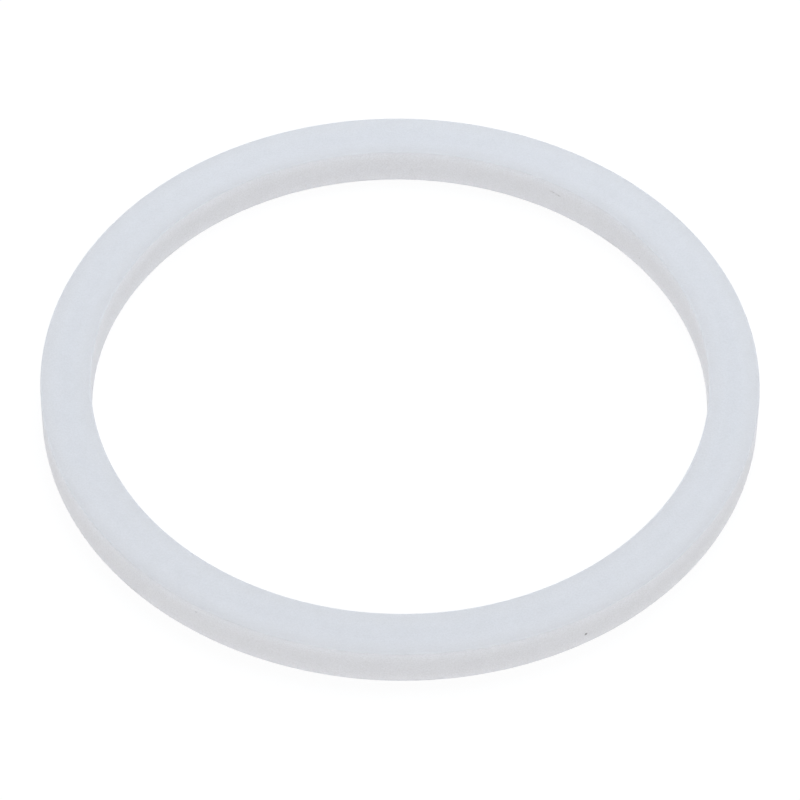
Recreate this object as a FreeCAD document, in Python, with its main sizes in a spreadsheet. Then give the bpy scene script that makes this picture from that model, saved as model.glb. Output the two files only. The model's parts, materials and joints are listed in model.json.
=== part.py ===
# Flat sealing ring of white PTFE for a sanitary tube union.
#
# The ring is one turned solid of rectangular section, with its edges lightly broken.
# It lies flat: its axis is +Z and the origin is the centre of its lower face.
# All sizes are in millimetres.

import FreeCAD, Part
import os

import Sketcher

PARTS_FOLDER = "parts"
FULL_TURN_DEGREES = 360

# The driving dimensions: the name, the size and what it measures
DIMENSIONS = [
    ("bore_diameter", "60.2", "hole, flush with the bore of the tube that it seals"),
    ("ring_width", "4.9", "flat face, from the hole's wall to the rim"),
    ("thickness", "4", "height, from the lower face to the upper face"),
    ("edge_radius", "0.1", "rounding where the faces meet the rim and the hole"),
]


def make_sheet(document):
    """Write the driving dimensions to a spreadsheet, one to a row, each with an alias."""
    sheet = document.addObject("Spreadsheet::Sheet", "Sizes")
    for row, (name, size, meaning) in enumerate(DIMENSIONS, start=1):
        sheet.set(f"A{row}", name)
        sheet.set(f"B{row}", size)
        sheet.set(f"C{row}", meaning)
        sheet.setAlias(f"B{row}", name)
    document.recompute()
    return sheet


def origin_plane(body, role):
    """Find one of the body's own origin planes by its role."""
    return next(plane for plane in body.Origin.OriginFeatures if plane.Role == role)


def sketch_section(body, sheet):
    """Sketch the ring's section, a rectangle that stands on the ground beside the axis."""
    sketch = body.newObject("Sketcher::SketchObject", "ring_section")
    sketch.AttachmentSupport = [(origin_plane(body, "XZ_Plane"), "")]
    sketch.MapMode = "FlatFace"

    hole = sheet.bore_diameter / 2
    rim = hole + sheet.ring_width
    corners = [
        FreeCAD.Vector(hole, 0, 0),
        FreeCAD.Vector(rim, 0, 0),
        FreeCAD.Vector(rim, sheet.thickness, 0),
        FreeCAD.Vector(hole, sheet.thickness, 0),
    ]
    sides = [
        Part.LineSegment(start, end)
        for start, end in zip(corners, corners[1:] + corners[:1])
    ]
    lower_face, rim_wall, upper_face, hole_wall = sketch.addGeometry(sides, False)

    first_point, last_point = 1, 2
    origin, horizontal_axis = -1, -1
    loop = [lower_face, rim_wall, upper_face, hole_wall]
    for side, following in zip(loop, loop[1:] + loop[:1]):
        sketch.addConstraint(
            Sketcher.Constraint("Coincident", side, last_point, following, first_point)
        )
    sketch.addConstraint(Sketcher.Constraint("Horizontal", upper_face))
    sketch.addConstraint(Sketcher.Constraint("Vertical", rim_wall))
    sketch.addConstraint(Sketcher.Constraint("Vertical", hole_wall))
    for end in (first_point, last_point):
        sketch.addConstraint(
            Sketcher.Constraint("PointOnObject", lower_face, end, horizontal_axis)
        )

    hole_radius = sketch.addConstraint(
        Sketcher.Constraint("DistanceX", origin, first_point, lower_face, first_point, hole)
    )
    face_width = sketch.addConstraint(
        Sketcher.Constraint(
            "DistanceX", lower_face, first_point, lower_face, last_point, sheet.ring_width
        )
    )
    wall_height = sketch.addConstraint(
        Sketcher.Constraint(
            "DistanceY", rim_wall, first_point, rim_wall, last_point, sheet.thickness
        )
    )
    sketch.setExpression(f"Constraints[{hole_radius}]", "Sizes.bore_diameter / 2")
    sketch.setExpression(f"Constraints[{face_width}]", "Sizes.ring_width")
    sketch.setExpression(f"Constraints[{wall_height}]", "Sizes.thickness")
    return sketch


def turn_section(body, section):
    """Turn the section once round the Z axis."""
    ring = body.newObject("PartDesign::Revolution", "turned_ring")
    ring.Profile = section
    ring.ReferenceAxis = (section, ["V_Axis"])
    ring.Angle = FULL_TURN_DEGREES
    section.Visibility = False
    body.Document.recompute()
    return ring


def break_edges(body, ring):
    """Round the circular edges where the flat faces meet the rim and the hole."""
    round_edges = [
        f"Edge{number}"
        for number, edge in enumerate(ring.Shape.Edges, start=1)
        if isinstance(edge.Curve, Part.Circle)
    ]
    rounding = body.newObject("PartDesign::Fillet", "broken_edges")
    rounding.Base = (ring, round_edges)
    rounding.setExpression("Radius", "Sizes.edge_radius")
    return rounding


def make_gasket_ring(document, sheet):
    """Build the ring as a body of its own."""
    body = document.addObject("PartDesign::Body", "gasket_ring")
    body.Label = "gasket_ring"
    section = sketch_section(body, sheet)
    ring = turn_section(body, section)
    break_edges(body, ring)
    return body


def check_document(document, bodies):
    """Stop if any object failed to compute or any body has no sound solid."""
    for item in document.Objects:
        if "Invalid" in item.State or "Error" in item.State:
            raise RuntimeError(f"{item.Label} did not compute: {item.State}")
    for body in bodies:
        if body.Shape.isNull() or not body.Shape.isValid():
            raise RuntimeError(f"{body.Label} has no valid shape")
        if len(body.Shape.Solids) != 1:
            raise RuntimeError(f"{body.Label} is not one solid")


def export_bodies(bodies):
    """Write each body to a STEP file that its label names."""
    os.makedirs(PARTS_FOLDER, exist_ok=True)
    for body in bodies:
        body.Shape.exportStep(f"{PARTS_FOLDER}/{body.Label}.step")


document = FreeCAD.newDocument("gasket")
sizes = make_sheet(document)
bodies = [make_gasket_ring(document, sizes)]
document.recompute()
check_document(document, bodies)
export_bodies(bodies)
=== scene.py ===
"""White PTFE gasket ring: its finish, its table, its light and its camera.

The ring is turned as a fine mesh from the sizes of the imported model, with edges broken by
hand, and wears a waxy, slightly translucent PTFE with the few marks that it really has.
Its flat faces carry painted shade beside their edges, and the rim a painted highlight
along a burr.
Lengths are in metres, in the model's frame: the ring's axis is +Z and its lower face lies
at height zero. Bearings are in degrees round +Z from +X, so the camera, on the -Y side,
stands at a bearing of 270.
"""

import json
import logging
import math
from dataclasses import dataclass
from enum import Enum

import bmesh
import bpy
from mathutils import Matrix, Vector, noise

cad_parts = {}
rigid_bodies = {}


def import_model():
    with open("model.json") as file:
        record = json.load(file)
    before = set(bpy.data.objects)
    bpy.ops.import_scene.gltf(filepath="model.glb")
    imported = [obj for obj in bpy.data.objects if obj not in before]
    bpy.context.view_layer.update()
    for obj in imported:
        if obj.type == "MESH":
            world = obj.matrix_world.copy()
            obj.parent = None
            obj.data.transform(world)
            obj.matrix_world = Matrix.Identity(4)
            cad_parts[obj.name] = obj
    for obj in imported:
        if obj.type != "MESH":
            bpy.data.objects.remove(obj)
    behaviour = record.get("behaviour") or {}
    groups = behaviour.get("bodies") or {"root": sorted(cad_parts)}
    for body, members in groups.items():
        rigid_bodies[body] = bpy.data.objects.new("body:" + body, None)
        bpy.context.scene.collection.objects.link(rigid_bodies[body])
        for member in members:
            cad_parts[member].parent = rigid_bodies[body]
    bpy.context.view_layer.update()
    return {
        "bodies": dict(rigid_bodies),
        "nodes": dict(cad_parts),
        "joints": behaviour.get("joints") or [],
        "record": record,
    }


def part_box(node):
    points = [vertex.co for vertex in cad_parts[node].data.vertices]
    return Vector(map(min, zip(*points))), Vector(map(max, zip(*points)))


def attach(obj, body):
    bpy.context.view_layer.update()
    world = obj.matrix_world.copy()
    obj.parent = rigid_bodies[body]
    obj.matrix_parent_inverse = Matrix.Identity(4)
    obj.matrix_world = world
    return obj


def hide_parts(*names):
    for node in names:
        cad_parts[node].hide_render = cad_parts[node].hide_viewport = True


Colour = tuple[float, float, float, float]

MILLIMETRE = 0.001
WHITE: Colour = (1.0, 1.0, 1.0, 1.0)

# What a position is multiplied by to lose its height
WITHOUT_HEIGHT = (1.0, 1.0, 0.0)

# A noise runs from zero to one and is about one half on average
NOISE_MIDDLE = 0.5
NOISE_DETAIL = 2.0

# Where the border of a speck fades, in its radii, and that of a line, in its widths
SPECK_OUTSIDE, SPECK_INSIDE = 1.3, 0.5
LINE_OUTSIDE, LINE_INSIDE = 1.0, 0.2

# A line's middle, and how far from there it ends and is still full, in its lengths
LINE_MIDDLE = 0.5
LINE_END, LINE_FULL = 0.6, 0.25

log = logging.getLogger("gasket")


class Surface(Enum):
    """The surfaces of the ring that carry a mark."""

    UPPER_FACE = "upper face"
    RIM = "rim"
    HOLE = "hole"


@dataclass(frozen=True)
class RingSizes:
    """The ring's sizes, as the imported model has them."""

    outer_radius: float
    bore_radius: float
    thickness: float

    @classmethod
    def from_frame(cls, frame: dict) -> "RingSizes":
        """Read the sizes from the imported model.


        Returns:
            The sizes in metres.
        """
        low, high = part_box("gasket_ring")
        mounts = frame["record"]["mounts"]
        bore = next(mount for mount in mounts if mount["name"] == "bore")
        return cls(
            outer_radius=high.x,
            bore_radius=bore["dims"]["r_mm"] * MILLIMETRE,
            thickness=high.z - low.z,
        )

    @property
    def face_width(self) -> float:
        """Width of a flat face, from the hole to the rim."""
        return self.outer_radius - self.bore_radius

    @property
    def section_centre(self) -> Vector:
        """Centre of the section that the ring is turned from."""
        return Vector(((self.outer_radius + self.bore_radius) / 2, 0.0, self.thickness / 2))

    @property
    def centre(self) -> Vector:
        """The ring's centre, halfway up its axis."""
        return Vector((0.0, 0.0, self.thickness / 2))

    def point(self, surface: Surface, bearing: float, offset: float) -> Vector:
        """Find a point on one of the surfaces.

        Args:
            surface: the surface that the point lies on.
            bearing: degrees round +Z from +X.
            offset: distance out from the hole on the upper face, or down from the upper
                face on the rim and in the hole.

        Returns:
            The point in metres.
        """
        if surface is Surface.UPPER_FACE:
            radius = self.bore_radius + offset
            height = self.thickness
        else:
            radius = self.outer_radius if surface is Surface.RIM else self.bore_radius
            height = self.thickness - offset
        angle = math.radians(bearing)
        return Vector((radius * math.cos(angle), radius * math.sin(angle), height))


class ShaderGraph:
    """Adds nodes to one shader tree and links them."""

    def __init__(self, tree: bpy.types.NodeTree) -> None:
        """Take the tree that the nodes go into."""
        self.tree = tree

    def add(self, kind: str, **settings: object) -> bpy.types.Node:
        """Add a node.

        Args:
            kind: the node's type name.
            settings: attributes of the node and their values.

        Returns:
            The new node.
        """
        node = self.tree.nodes.new(kind)
        for name, value in settings.items():
            setattr(node, name, value)
        return node

    def feed(self, socket: bpy.types.NodeSocket, source: object) -> None:
        """Link an input to another node's output, or set the input's own value.

        Args:
            socket: the input.
            source: the output, or the value.
        """
        if isinstance(source, bpy.types.NodeSocket):
            self.tree.links.new(source, socket)
        else:
            socket.default_value = source

    def use(self, group: bpy.types.NodeTree, **inputs: object) -> bpy.types.Node:
        """Place a node group.

        Args:
            group: the group's tree.
            inputs: its inputs by name, with underscores for spaces.

        Returns:
            The group's node.
        """
        node = self.add("ShaderNodeGroup", node_tree=group)
        for name, source in inputs.items():
            self.feed(node.inputs[name.replace("_", " ")], source)
        return node

    def math(self, operation: str, *sources: object) -> bpy.types.NodeSocket:
        """Add a Math node.

        Args:
            operation: what the node does.
            sources: its inputs in order, as values or outputs.

        Returns:
            The node's result.
        """
        node = self.add("ShaderNodeMath", operation=operation)
        for socket, source in zip(node.inputs, sources):
            self.feed(socket, source)
        return node.outputs["Value"]

    def vector(self, operation: str, *sources: object) -> bpy.types.Node:
        """Add a Vector Math node.

        Args:
            operation: what the node does.
            sources: its inputs in order, as vectors or outputs.

        Returns:
            The node.
        """
        node = self.add("ShaderNodeVectorMath", operation=operation)
        for socket, source in zip(node.inputs, sources):
            self.feed(socket, source)
        return node

    def apart(self, first: object, second: object) -> bpy.types.NodeSocket:
        """Find how far apart two values are."""
        return self.math("ABSOLUTE", self.math("SUBTRACT", first, second))

    def radius(self, position: object) -> bpy.types.NodeSocket:
        """Find how far a point is from the axis."""
        across = self.vector("MULTIPLY", position, WITHOUT_HEIGHT).outputs["Vector"]
        return self.vector("LENGTH", across).outputs["Value"]

    def split(self, vector: object) -> bpy.types.NodeOutputs:
        """Split a vector into its three parts.

        Args:
            vector: the vector, or the output that gives it.

        Returns:
            The outputs, named X, Y and Z.
        """
        node = self.add("ShaderNodeSeparateXYZ")
        self.feed(node.inputs["Vector"], vector)
        return node.outputs

    def noise(self, position: object, size: object) -> bpy.types.NodeSocket:
        """Add a noise whose patches are about the given size across.

        Args:
            position: the point in metres.
            size: the patches' size in metres.

        Returns:
            The noise, about one half on average.
        """
        node = self.add("ShaderNodeTexNoise")
        self.feed(node.inputs["Vector"], position)
        self.feed(node.inputs["Scale"], self.math("DIVIDE", 1.0, size))
        self.feed(node.inputs["Detail"], NOISE_DETAIL)
        return node.outputs["Fac"]

    def ease(
        self, value: object, start: object, end: object, low: object = 0.0, high: object = 1.0
    ) -> bpy.types.NodeSocket:
        """Ease a value from one range to another, held at its ends.

        Args:
            value: what is eased.
            start: the value that becomes low.
            end: the value that becomes high.
            low: the result at start.
            high: the result at end.

        Returns:
            The eased value.
        """
        node = self.add("ShaderNodeMapRange", interpolation_type="SMOOTHSTEP")
        for name, source in (
            ("Value", value),
            ("From Min", start),
            ("From Max", end),
            ("To Min", low),
            ("To Max", high),
        ):
            self.feed(node.inputs[name], source)
        return node.outputs["Result"]

    def blend(self, share: object, first: object, second: object) -> bpy.types.NodeSocket:
        """Mix two colours.

        Args:
            share: the second colour's share.
            first: the first colour.
            second: the second colour.

        Returns:
            The mixed colour.
        """
        node = self.add("ShaderNodeMix", data_type="RGBA")
        sockets = [socket for socket in node.inputs if socket.enabled]
        for socket, source in zip(sockets, (share, first, second)):
            self.feed(socket, source)
        return next(socket for socket in node.outputs if socket.enabled)


def new_group(
    name: str, inputs: dict[str, str], outputs: dict[str, str]
) -> tuple[ShaderGraph, bpy.types.NodeOutputs, bpy.types.NodeInputs]:
    """Make an empty node group with named inputs and outputs.

    Args:
        name: the group's name.
        inputs: each input's name and socket type.
        outputs: each output's name and socket type.

    Returns:
        The group's graph, what comes in, and what goes out.
    """
    tree = bpy.data.node_groups.new(name, "ShaderNodeTree")
    for socket, kind in inputs.items():
        tree.interface.new_socket(name=socket, in_out="INPUT", socket_type=kind)
    for socket, kind in outputs.items():
        tree.interface.new_socket(name=socket, in_out="OUTPUT", socket_type=kind)
    graph = ShaderGraph(tree)
    return graph, graph.add("NodeGroupInput").outputs, graph.add("NodeGroupOutput").inputs


def turning_marks_group() -> bpy.types.NodeTree:
    """Make the fine marks that a lathe tool leaves, round the axis on every surface.

    The marks are a noise of radius and height, which drifts slowly round the ring. The
    bearing enters as its cosine and sine, so the marks close without a seam.

    Returns:
        The group's tree.
    """
    graph, given, result = new_group(
        "Turning marks",
        {
            "Position": "NodeSocketVector",
            "Pitch": "NodeSocketFloat",
            "Drift": "NodeSocketFloat",
        },
        {"Height": "NodeSocketFloat"},
    )
    place = graph.split(given["Position"])
    radius = graph.radius(given["Position"])
    cosine = graph.math("DIVIDE", place["X"], radius)
    sine = graph.math("DIVIDE", place["Y"], radius)

    track = graph.add("ShaderNodeCombineXYZ")
    graph.feed(track.inputs["X"], graph.math("DIVIDE", radius, given["Pitch"]))
    graph.feed(track.inputs["Y"], graph.math("DIVIDE", place["Z"], given["Pitch"]))
    graph.feed(track.inputs["Z"], graph.math("MULTIPLY", cosine, given["Drift"]))
    marks = graph.add("ShaderNodeTexNoise", noise_dimensions="4D")
    graph.feed(marks.inputs["Vector"], track.outputs["Vector"])
    graph.feed(marks.inputs["W"], graph.math("MULTIPLY", sine, given["Drift"]))
    graph.feed(marks.inputs["Scale"], 1.0)
    graph.feed(marks.inputs["Detail"], NOISE_DETAIL)
    graph.feed(result["Height"], marks.outputs["Fac"])
    return graph.tree


def sintered_body_group() -> bpy.types.NodeTree:
    """Make the faint clouds and the fine grain of PTFE that was pressed and sintered.

    Returns:
        The group's tree.
    """
    graph, given, result = new_group(
        "Sintered body",
        {
            "Position": "NodeSocketVector",
            "Cloud Size": "NodeSocketFloat",
            "Grain Size": "NodeSocketFloat",
        },
        {"Clouds": "NodeSocketFloat", "Grain": "NodeSocketFloat"},
    )
    graph.feed(result["Clouds"], graph.noise(given["Position"], given["Cloud Size"]))
    graph.feed(result["Grain"], graph.noise(given["Position"], given["Grain Size"]))
    return graph.tree


def section_places_group() -> bpy.types.NodeTree:
    """Make the masks of the two walls, and of the painted shade beside the flat faces' edges.

    The section is the same above and below its middle, and beside the hole and the rim, so
    the masks depend only on how far the point is from the nearest wall and flat face. The
    bands fade a little again towards the corner itself, where the edge is broken.

    Returns:
        The group's tree.
    """
    graph, given, result = new_group(
        "Section places",
        {
            "Position": "NodeSocketVector",
            "Middle": "NodeSocketVector",
            "Half Width": "NodeSocketFloat",
            "Half Height": "NodeSocketFloat",
            "Reach": "NodeSocketFloat",
            "Rounding": "NodeSocketFloat",
            "Corner Reach": "NodeSocketFloat",
            "Corner Share": "NodeSocketFloat",
        },
        {"Edge Shade Bands": "NodeSocketFloat", "Walls": "NodeSocketFloat"},
    )
    middle = graph.split(given["Middle"])
    sideways = graph.apart(graph.radius(given["Position"]), middle["X"])
    upward = graph.apart(graph.split(given["Position"])["Z"], middle["Z"])
    beside = graph.math("SUBTRACT", given["Half Width"], sideways)
    below = graph.math("SUBTRACT", given["Half Height"], upward)
    walls = graph.ease(below, 0.0, given["Rounding"])
    band = graph.ease(beside, given["Reach"], 0.0)
    corner = graph.ease(beside, 0.0, given["Corner Reach"], given["Corner Share"], 1.0)
    held = graph.math("MULTIPLY", graph.math("SUBTRACT", 1.0, walls), corner)
    graph.feed(result["Edge Shade Bands"], graph.math("MULTIPLY", band, held))
    graph.feed(result["Walls"], walls)
    return graph.tree


def speck_group() -> bpy.types.NodeTree:
    """Make the mask of one speck round a centre, a little ragged at its border.

    Returns:
        The group's tree.
    """
    graph, given, result = new_group(
        "Speck",
        {
            "Position": "NodeSocketVector",
            "Centre": "NodeSocketVector",
            "Radius": "NodeSocketFloat",
            "Raggedness": "NodeSocketFloat",
        },
        {"Mask": "NodeSocketFloat"},
    )
    away = graph.vector("DISTANCE", given["Position"], given["Centre"]).outputs["Value"]
    patches = graph.noise(given["Position"], given["Radius"])
    uneven = graph.math("SUBTRACT", patches, NOISE_MIDDLE)
    ragged = graph.math("MULTIPLY", uneven, given["Raggedness"])
    reach = graph.math("ADD", graph.math("DIVIDE", away, given["Radius"]), ragged)
    graph.feed(result["Mask"], graph.ease(reach, SPECK_OUTSIDE, SPECK_INSIDE))
    return graph.tree


def dirt_or_highlight_line_group() -> bpy.types.NodeTree:
    """Make the mask of one fine line that runs straight between two points.

    Returns:
        The group's tree.
    """
    graph, given, result = new_group(
        "DirtOrHighlightLine",
        {
            "Position": "NodeSocketVector",
            "Start": "NodeSocketVector",
            "End": "NodeSocketVector",
            "Width": "NodeSocketFloat",
        },
        {"Mask": "NodeSocketFloat"},
    )
    run = graph.vector("SUBTRACT", given["End"], given["Start"]).outputs["Vector"]
    reached = graph.vector("SUBTRACT", given["Position"], given["Start"]).outputs["Vector"]
    along = graph.math(
        "DIVIDE",
        graph.vector("DOT_PRODUCT", reached, run).outputs["Value"],
        graph.vector("DOT_PRODUCT", run, run).outputs["Value"],
    )
    held = graph.math("MINIMUM", graph.math("MAXIMUM", along, 0.0), 1.0)
    step = graph.add("ShaderNodeVectorMath", operation="SCALE")
    graph.feed(step.inputs["Vector"], run)
    graph.feed(step.inputs["Scale"], held)
    nearest = graph.vector("ADD", given["Start"], step.outputs["Vector"]).outputs["Vector"]
    away = graph.vector("DISTANCE", given["Position"], nearest).outputs["Value"]
    reach = graph.math("DIVIDE", away, given["Width"])
    line = graph.ease(reach, LINE_OUTSIDE, LINE_INSIDE)
    taper = graph.ease(graph.apart(along, LINE_MIDDLE), LINE_END, LINE_FULL)
    graph.feed(result["Mask"], graph.math("MULTIPLY", line, taper))
    return graph.tree


@dataclass(frozen=True)
class Speck:
    """A speck in the surface, such as a grain of dirt that was pressed in."""

    surface: Surface
    bearing: float
    offset: float
    radius: float
    colour: Colour
    strength: float
    raggedness: float = 0.4

    def mask(
        self,
        graph: ShaderGraph,
        group: bpy.types.NodeTree,
        position: bpy.types.NodeSocket,
        sizes: RingSizes,
    ) -> bpy.types.NodeSocket:
        """Place the speck's mask in a material.

        Args:
            graph: the material's graph.
            group: the node group of a speck.
            position: the point in metres.
            sizes: the ring's sizes.

        Returns:
            The mask, at full strength in the middle of the speck.
        """
        spot = graph.use(
            group,
            Position=position,
            Centre=sizes.point(self.surface, self.bearing, self.offset),
            Radius=self.radius,
            Raggedness=self.raggedness,
        )
        return graph.math("MULTIPLY", spot.outputs["Mask"], self.strength)


@dataclass(frozen=True)
class DirtOrHighlightLine:
    """A fine line between two bearings and offsets: mostly a streak of dirt, once a painted
    highlight.
    """

    surface: Surface
    start: tuple[float, float]
    end: tuple[float, float]
    width: float
    colour: Colour
    strength: float

    def mask(
        self,
        graph: ShaderGraph,
        group: bpy.types.NodeTree,
        position: bpy.types.NodeSocket,
        sizes: RingSizes,
    ) -> bpy.types.NodeSocket:
        """Place the line's mask in a material.

        Args:
            graph: the material's graph.
            group: the node group of a scratch.
            position: the point in metres.
            sizes: the ring's sizes.

        Returns:
            The mask, at full strength along the middle of the line.
        """
        line = graph.use(
            group,
            Position=position,
            Start=sizes.point(self.surface, *self.start),
            End=sizes.point(self.surface, *self.end),
            Width=self.width,
        )
        return graph.math("MULTIPLY", line.outputs["Mask"], self.strength)


DIRT: Colour = (0.11, 0.11, 0.115, 1.0)
# Painted highlight: a pale line where a burr on the rim catches the light
PAINTED_BURR_HIGHLIGHT: Colour = (0.86, 0.865, 0.88, 1.0)

# Each mark's surface, bearing and offset, its radius or width, its colour and its strength
MARKS = (
    Speck(Surface.RIM, 300.45, 2.60 * MILLIMETRE, 0.145 * MILLIMETRE, DIRT, 0.75, raggedness=0.1),
    Speck(Surface.RIM, 237.5, 0.91 * MILLIMETRE, 0.14 * MILLIMETRE, DIRT, 0.20),
    Speck(Surface.UPPER_FACE, 329.6, 2.41 * MILLIMETRE, 0.10 * MILLIMETRE, DIRT, 0.06),
    Speck(Surface.UPPER_FACE, 335.1, 4.35 * MILLIMETRE, 0.10 * MILLIMETRE, DIRT, 0.06),
    DirtOrHighlightLine(
        Surface.HOLE,
        start=(60.6, 1.22 * MILLIMETRE),
        end=(59.1, 1.25 * MILLIMETRE),
        width=0.13 * MILLIMETRE,
        colour=DIRT,
        strength=0.20,
    ),
    Speck(Surface.HOLE, 59.55, 1.24 * MILLIMETRE, 0.09 * MILLIMETRE, DIRT, 0.14),
    DirtOrHighlightLine(
        Surface.HOLE,
        start=(59.2, 1.33 * MILLIMETRE),
        end=(57.9, 1.39 * MILLIMETRE),
        width=0.16 * MILLIMETRE,
        colour=DIRT,
        strength=0.20,
    ),
    Speck(Surface.HOLE, 58.4, 1.36 * MILLIMETRE, 0.09 * MILLIMETRE, DIRT, 0.14),
    Speck(Surface.HOLE, 37.65, 2.72 * MILLIMETRE, 0.11 * MILLIMETRE, DIRT, 0.22),
    # Painted highlight along a burr just below the rim's upper edge
    DirtOrHighlightLine(
        Surface.RIM,
        start=(236.5, 0.70 * MILLIMETRE),
        end=(239.7, 0.36 * MILLIMETRE),
        width=0.12 * MILLIMETRE,
        colour=PAINTED_BURR_HIGHLIGHT,
        strength=0.45,
    ),
)


@dataclass(frozen=True)
class PtfeFinish:
    """White PTFE: waxy and matt, with turning marks, and light spreads some way inside it."""

    light_tone: Colour = (0.834, 0.843, 0.883, 1.0)
    shade_tone: Colour = (0.699, 0.704, 0.731, 1.0)
    light_share: float = 0.5
    # Painted shade: the flat faces are painted greyer in bands beside their edges
    edge_shade_tone: Colour = (0.592, 0.587, 0.595, 1.0)
    edge_shade_share: float = 0.35
    edge_shade_reach: float = 1.8 * MILLIMETRE
    edge_rounding: float = 0.36 * MILLIMETRE
    corner_reach: float = 0.30 * MILLIMETRE
    corner_share: float = 0.40
    refractive_index: float = 1.36
    specular_level: float = 0.3
    scatter_method: str = "BURLEY"
    scatter_share: float = 0.6
    scatter_depth: float = 3.0 * MILLIMETRE
    scatter_spread: tuple[float, float, float] = (1.0, 0.95, 0.85)
    smooth_roughness: float = 0.65
    rough_roughness: float = 0.80
    cloud_size: float = 1.6 * MILLIMETRE
    cloud_share: float = 0.3
    cloud_range: tuple[float, float] = (0.3, 0.7)
    grain_size: float = 0.15 * MILLIMETRE
    face_grain: float = 1.0
    wall_grain: float = 1.6
    marks_pitch: float = 0.11 * MILLIMETRE
    marks_drift: float = 2.5
    marks_depth: float = 0.0022 * MILLIMETRE
    grain_depth: float = 0.0012 * MILLIMETRE

    def material(self, sizes: RingSizes) -> bpy.types.Material:
        """Make the material.

        Args:
            sizes: the ring's sizes, for the places of its edges and marks.

        Returns:
            The material.
        """
        material = bpy.data.materials.new("White PTFE")
        material.use_nodes = True
        graph = ShaderGraph(material.node_tree)
        shader = material.node_tree.nodes["Principled BSDF"]
        position = graph.add("ShaderNodeTexCoord").outputs["Object"]
        body = graph.use(
            sintered_body_group(),
            Position=position,
            Cloud_Size=self.cloud_size,
            Grain_Size=self.grain_size,
        )
        plain_colour = self._plain_colour(graph, position, body, sizes)
        colour = self._add_marks(graph, position, plain_colour, sizes)
        graph.feed(shader.inputs["Base Color"], colour)
        roughness = graph.ease(
            body.outputs["Clouds"], *self.cloud_range, self.smooth_roughness, self.rough_roughness
        )
        graph.feed(shader.inputs["Roughness"], roughness)
        graph.feed(shader.inputs["Normal"], self._relief(graph, position, body))

        shader.subsurface_method = self.scatter_method
        graph.feed(shader.inputs["IOR"], self.refractive_index)
        graph.feed(shader.inputs["Specular IOR Level"], self.specular_level)
        graph.feed(shader.inputs["Subsurface Weight"], self.scatter_share)
        graph.feed(shader.inputs["Subsurface Scale"], self.scatter_depth)
        graph.feed(shader.inputs["Subsurface Radius"], self.scatter_spread)
        return material

    def _plain_colour(
        self,
        graph: ShaderGraph,
        position: bpy.types.NodeSocket,
        body: bpy.types.Node,
        sizes: RingSizes,
    ) -> bpy.types.NodeSocket:
        """Mix the colour without its marks, with clouds, grain and painted shade beside the
        edges.

        Args:
            graph: the material's graph.
            position: the point in metres.
            body: the node of the clouds and the grain.
            sizes: the ring's sizes.

        Returns:
            The colour.
        """
        places = graph.use(
            section_places_group(),
            Position=position,
            Middle=sizes.section_centre,
            Half_Width=sizes.face_width / 2,
            Half_Height=sizes.thickness / 2,
            Reach=self.edge_shade_reach,
            Rounding=self.edge_rounding,
            Corner_Reach=self.corner_reach,
            Corner_Share=self.corner_share,
        )
        grain_share = graph.ease(
            places.outputs["Walls"], 0.0, 1.0, self.face_grain, self.wall_grain
        )
        clouds = graph.math("SUBTRACT", body.outputs["Clouds"], NOISE_MIDDLE)
        grain = graph.math("SUBTRACT", body.outputs["Grain"], NOISE_MIDDLE)
        uneven = graph.math(
            "ADD",
            graph.math("MULTIPLY", clouds, self.cloud_share),
            graph.math("MULTIPLY", grain, grain_share),
        )
        tone = graph.math("ADD", uneven, self.light_share)
        colour = graph.blend(tone, self.shade_tone, self.light_tone)
        # Painted shade: greyer bands on the flat faces beside their edges
        edge_shade_mask = graph.math("MULTIPLY", places.outputs["Edge Shade Bands"], self.edge_shade_share)
        return graph.blend(edge_shade_mask, colour, self.edge_shade_tone)

    def _add_marks(
        self,
        graph: ShaderGraph,
        position: bpy.types.NodeSocket,
        colour: bpy.types.NodeSocket,
        sizes: RingSizes,
    ) -> bpy.types.NodeSocket:
        """Lay the marks over the plain colour.

        Args:
            graph: the material's graph.
            position: the point in metres.
            colour: the plain colour.
            sizes: the ring's sizes.

        Returns:
            The colour with its marks.
        """
        groups = {Speck: speck_group(), DirtOrHighlightLine: dirt_or_highlight_line_group()}
        for mark in MARKS:
            mask = mark.mask(graph, groups[type(mark)], position, sizes)
            colour = graph.blend(mask, colour, mark.colour)
        return colour

    def _relief(
        self, graph: ShaderGraph, position: bpy.types.NodeSocket, body: bpy.types.Node
    ) -> bpy.types.NodeSocket:
        """Raise the turning marks and the grain.

        Args:
            graph: the material's graph.
            position: the point in metres.
            body: the node of the clouds and the grain.

        Returns:
            The surface's normal.
        """
        turning = graph.use(
            turning_marks_group(),
            Position=position,
            Pitch=self.marks_pitch,
            Drift=self.marks_drift,
        )
        height = graph.math(
            "ADD",
            graph.math("MULTIPLY", turning.outputs["Height"], self.marks_depth),
            graph.math("MULTIPLY", body.outputs["Grain"], self.grain_depth),
        )
        bump = graph.add("ShaderNodeBump")
        graph.feed(bump.inputs["Distance"], 1.0)
        graph.feed(bump.inputs["Height"], height)
        return bump.outputs["Normal"]


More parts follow.
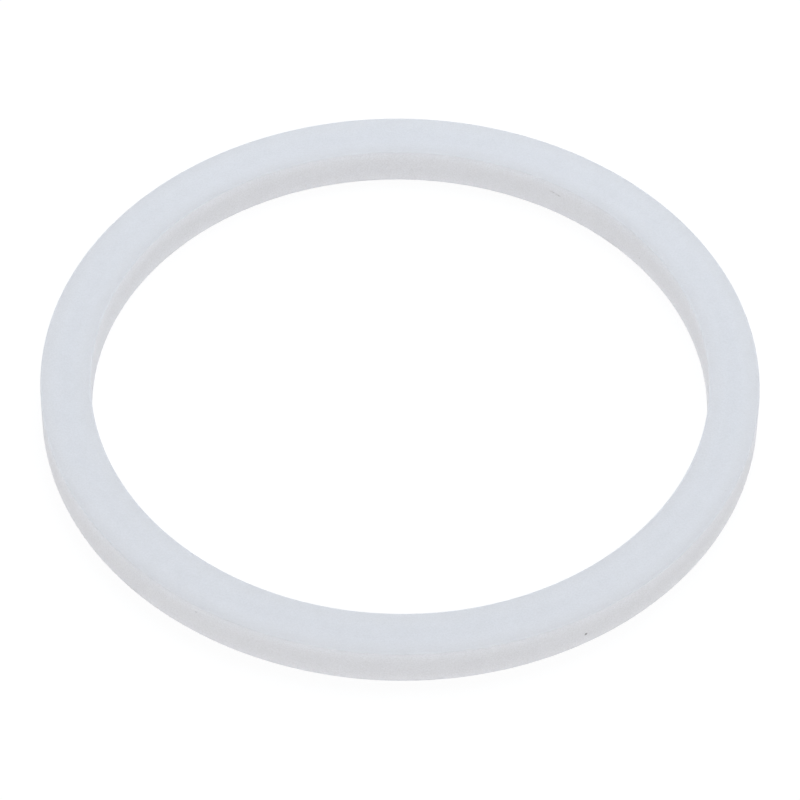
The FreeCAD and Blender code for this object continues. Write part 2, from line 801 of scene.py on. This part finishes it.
@dataclass(frozen=True)
class GasketRing:
    """The ring: a section that is rounded at its corners and turned once round the axis."""

    sizes: RingSizes
    finish: PtfeFinish
    edge_radius: float = 0.10 * MILLIMETRE
    corner_segments: int = 6
    side_cuts: int = 11
    turn_steps: int = 720
    merge_distance: float = 0.001 * MILLIMETRE
    hand_depth: float = 0.010 * MILLIMETRE
    hand_reach: float = 0.30 * MILLIMETRE
    hand_waves: float = 9.0

    def build(self) -> bpy.types.Object:
        """Model the ring and dress it.

        Returns:
            The finished piece.
        """
        ring = self._draw_section()
        self._turn(ring)
        self._break_edges_by_hand(ring)
        self._smooth(ring)
        ring.data.materials.clear()
        ring.data.materials.append(self.finish.material(self.sizes))
        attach(ring, "root")
        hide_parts("gasket_ring")
        return ring

    def _draw_section(self) -> bpy.types.Object:
        """Draw the section as an outline with rounded corners.

        Returns:
            The outline, standing in the XZ plane.
        """
        sizes = self.sizes
        bpy.ops.object.select_all(action="DESELECT")
        bpy.ops.mesh.primitive_plane_add(
            size=sizes.thickness,
            location=sizes.section_centre,
            rotation=(math.radians(90), 0.0, 0.0),
        )
        ring = bpy.context.active_object
        ring.name = "turned_ring"
        bpy.ops.object.transform_apply(location=True, rotation=True, scale=True)
        bpy.ops.object.mode_set(mode="EDIT")
        bpy.ops.mesh.select_mode(type="VERT")
        bpy.ops.mesh.select_all(action="SELECT")
        bpy.ops.transform.resize(
            value=(sizes.face_width / sizes.thickness, 1.0, 1.0),
            center_override=sizes.section_centre,
        )
        bpy.ops.mesh.bevel(
            affect="VERTICES", offset=self.edge_radius, segments=self.corner_segments
        )
        bpy.ops.mesh.select_all(action="SELECT")
        bpy.ops.mesh.delete(type="ONLY_FACE")
        bpy.ops.mesh.select_mode(type="EDGE")
        bpy.ops.mesh.select_all(action="DESELECT")
        outline = bmesh.from_edit_mesh(ring.data)
        for edge in outline.edges:
            edge.select = edge.calc_length() > self.edge_radius
        bmesh.update_edit_mesh(ring.data)
        bpy.ops.mesh.subdivide(number_cuts=self.side_cuts)
        bpy.ops.object.mode_set(mode="OBJECT")
        return ring

    def _turn(self, ring: bpy.types.Object) -> None:
        """Turn the outline once round the axis and close the seam.

        Args:
            ring: the piece, still an outline.
        """
        turned = ring.modifiers.new("Turned", "SCREW")
        turned.axis = "Z"
        turned.angle = math.radians(360)
        turned.steps = self.turn_steps
        turned.render_steps = self.turn_steps
        turned.use_merge_vertices = True
        turned.merge_threshold = self.merge_distance
        bpy.ops.object.modifier_apply(modifier=turned.name)
        bpy.ops.object.mode_set(mode="EDIT")
        bpy.ops.mesh.select_all(action="SELECT")
        bpy.ops.mesh.remove_doubles(threshold=self.merge_distance)
        bpy.ops.mesh.normals_make_consistent(inside=False)
        bpy.ops.object.mode_set(mode="OBJECT")

    def _break_edges_by_hand(self, ring: bpy.types.Object) -> None:
        """Take a little more off the edges here and there, as a deburring knife does.

        Args:
            ring: the turned piece.
        """
        sizes = self.sizes
        corners = [
            (radius, height)
            for radius in (sizes.bore_radius, sizes.outer_radius)
            for height in (0.0, sizes.thickness)
        ]
        middle = sizes.section_centre
        for vertex in ring.data.vertices:
            place = vertex.co
            radius = math.hypot(place.x, place.y)
            for number, (corner_radius, corner_height) in enumerate(corners):
                away = math.hypot(radius - corner_radius, place.z - corner_height)
                if away > self.hand_reach:
                    continue
                bearing = Vector((place.x, place.y, 0.0)) / radius
                wave = noise.noise(bearing * self.hand_waves + Vector((0.0, 0.0, number)))
                share = (1.0 - away / self.hand_reach) ** 2
                cut = self.hand_depth * share * (1.0 + wave) / 2
                inward = math.copysign(cut, middle.x - corner_radius)
                vertex.co += bearing * inward
                vertex.co.z += math.copysign(cut, middle.z - corner_height)

    def _smooth(self, ring: bpy.types.Object) -> None:
        """Shade the ring smooth, with the flat faces' normals kept true.

        Args:
            ring: the turned piece.
        """
        bpy.ops.object.shade_smooth()
        weighted = ring.modifiers.new("True normals", "WEIGHTED_NORMAL")
        weighted.keep_sharp = True
        bpy.ops.object.modifier_apply(modifier=weighted.name)


@dataclass(frozen=True)
class PhotoCamera:
    """The camera, at the place and angle that the photograph was taken from.

    Its focal length and the place of the ring's centre are in pixels of the photograph, and
    the sensor's width is in millimetres, as a lens is named.
    """

    distance: float = 480.9 * MILLIMETRE
    elevation: float = 48.256
    roll: float = -0.767
    focal_pixels: float = 4923.1
    centre_right: float = -0.03
    centre_up: float = 13.01
    image_pixels: float = 800.0
    sensor_width: float = 36.0

    def place(self, target: Vector) -> bpy.types.Object:
        """Make the camera and aim it a little below the ring's centre, as in the photograph.

        Args:
            target: the ring's centre.

        Returns:
            The camera.
        """
        rise = math.radians(self.elevation)
        back = Vector((0.0, -math.cos(rise), math.sin(rise)))
        tilt = Matrix.Rotation(-math.radians(self.roll), 3, back)
        right = tilt @ Vector((1.0, 0.0, 0.0))
        up = tilt @ Vector((0.0, math.sin(rise), math.cos(rise)))
        eye = target + back * self.distance
        pixel = self.distance / self.focal_pixels
        aim = target - right * (self.centre_right * pixel) - up * (self.centre_up * pixel)
        back = (eye - aim).normalized()
        right = (right - back * right.dot(back)).normalized()
        up = back.cross(right)

        data = bpy.data.cameras.new("Camera")
        data.sensor_fit = "HORIZONTAL"
        data.sensor_width = self.sensor_width
        data.lens = self.focal_pixels / self.image_pixels * self.sensor_width
        data.clip_start = MILLIMETRE
        camera = bpy.data.objects.new("Camera", data)
        bpy.context.scene.collection.objects.link(camera)
        turn = Matrix((right, up, back)).transposed()
        camera.matrix_world = Matrix.Translation(eye) @ turn.to_4x4()
        bpy.context.scene.camera = camera
        return camera


def seen_directly(graph: ShaderGraph) -> bpy.types.NodeSocket:
    """Tell the rays that show a backdrop from the rays that light the object.

    Args:
        graph: the graph of the backdrop's material or world.

    Returns:
        One for the camera's, a reflection's or a glass's ray, else zero.
    """
    path = graph.add("ShaderNodeLightPath").outputs
    seen = graph.math("MAXIMUM", path["Is Camera Ray"], path["Is Glossy Ray"])
    return graph.math("MAXIMUM", seen, path["Is Transmission Ray"])


@dataclass(frozen=True)
class LightTable:
    """A table top of opal white plastic, lit from below, which shows white.

    Its glow lights the ring's walls and underside at a plain level, and its own pale colour
    takes up the light from above, less the ring's soft shadow.
    """

    width: float = 4.0
    gap: float = 0.01 * MILLIMETRE
    tone: Colour = (0.22, 0.22, 0.22, 1.0)
    glow: float = 0.73
    shown_glow: float = 0.83

    def build(self) -> bpy.types.Object:
        """Make the table top.

        Returns:
            The table top.
        """
        bpy.ops.object.select_all(action="DESELECT")
        bpy.ops.mesh.primitive_plane_add(size=self.width, location=(0.0, 0.0, -self.gap))
        table = bpy.context.active_object
        table.name = "table_top"
        table.data.materials.append(self._material())
        return table

    def _material(self) -> bpy.types.Material:
        """Make the opal plastic, which glows a little more where it is seen.

        Returns:
            The material.
        """
        material = bpy.data.materials.new("Opal white plastic")
        material.use_nodes = True
        material.node_tree.nodes.clear()
        graph = ShaderGraph(material.node_tree)
        plastic = graph.add("ShaderNodeBsdfDiffuse")
        graph.feed(plastic.inputs["Color"], self.tone)
        glow = graph.add("ShaderNodeEmission")
        extra = graph.math("MULTIPLY", seen_directly(graph), self.shown_glow - self.glow)
        graph.feed(glow.inputs["Strength"], graph.math("ADD", self.glow, extra))
        both = graph.add("ShaderNodeAddShader")
        graph.feed(both.inputs[0], plastic.outputs["BSDF"])
        graph.feed(both.inputs[1], glow.outputs["Emission"])
        output = graph.add("ShaderNodeOutputMaterial")
        graph.feed(output.inputs["Surface"], both.outputs["Shader"])
        return material


@dataclass(frozen=True)
class StudioLight:
    """Even light from a white room, and a cool softbox above, behind and to the right."""

    room_level: float = 0.70
    box_place: tuple[float, float, float] = (0.05, 0.21, 0.42)
    box_width: float = 0.30
    box_power: float = 0.59
    box_colour: tuple[float, float, float] = (0.83, 1.0, 1.16)

    def build(self) -> None:
        """Light the room and hang the softbox."""
        self._light_room()
        self._hang_softbox()

    def _light_room(self) -> None:
        """Make the world: plain light on the object, and white where it is seen."""
        world = bpy.data.worlds.new("White room")
        world.use_nodes = True
        world.node_tree.nodes.clear()
        graph = ShaderGraph(world.node_tree)
        room = graph.add("ShaderNodeBackground")
        graph.feed(room.inputs["Color"], WHITE)
        extra = graph.math("MULTIPLY", seen_directly(graph), 1.0 - self.room_level)
        graph.feed(room.inputs["Strength"], graph.math("ADD", self.room_level, extra))
        output = graph.add("ShaderNodeOutputWorld")
        graph.feed(output.inputs["Surface"], room.outputs["Background"])
        bpy.context.scene.world = world

    def _hang_softbox(self) -> None:
        """Hang the softbox and point it at the ring."""
        data = bpy.data.lights.new("Softbox", "AREA")
        data.shape = "SQUARE"
        data.size = self.box_width
        data.energy = self.box_power
        data.color = self.box_colour
        softbox = bpy.data.objects.new("Softbox", data)
        softbox.location = self.box_place
        softbox.rotation_euler = Vector(self.box_place).to_track_quat("Z", "Y").to_euler()
        bpy.context.scene.collection.objects.link(softbox)


def main() -> None:
    """Build the ring, its table, its light and its camera."""
    logging.basicConfig(level=logging.INFO, format="%(message)s")
    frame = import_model()
    bpy.context.scene.view_settings.view_transform = "Standard"

    sizes = RingSizes.from_frame(frame)
    PhotoCamera().place(sizes.centre)
    LightTable().build()
    StudioLight().build()
    ring = GasketRing(sizes, PtfeFinish()).build()
    log.info("%s: %d faces", ring.name, len(ring.data.polygons))


if __name__ == "__main__":
    main()
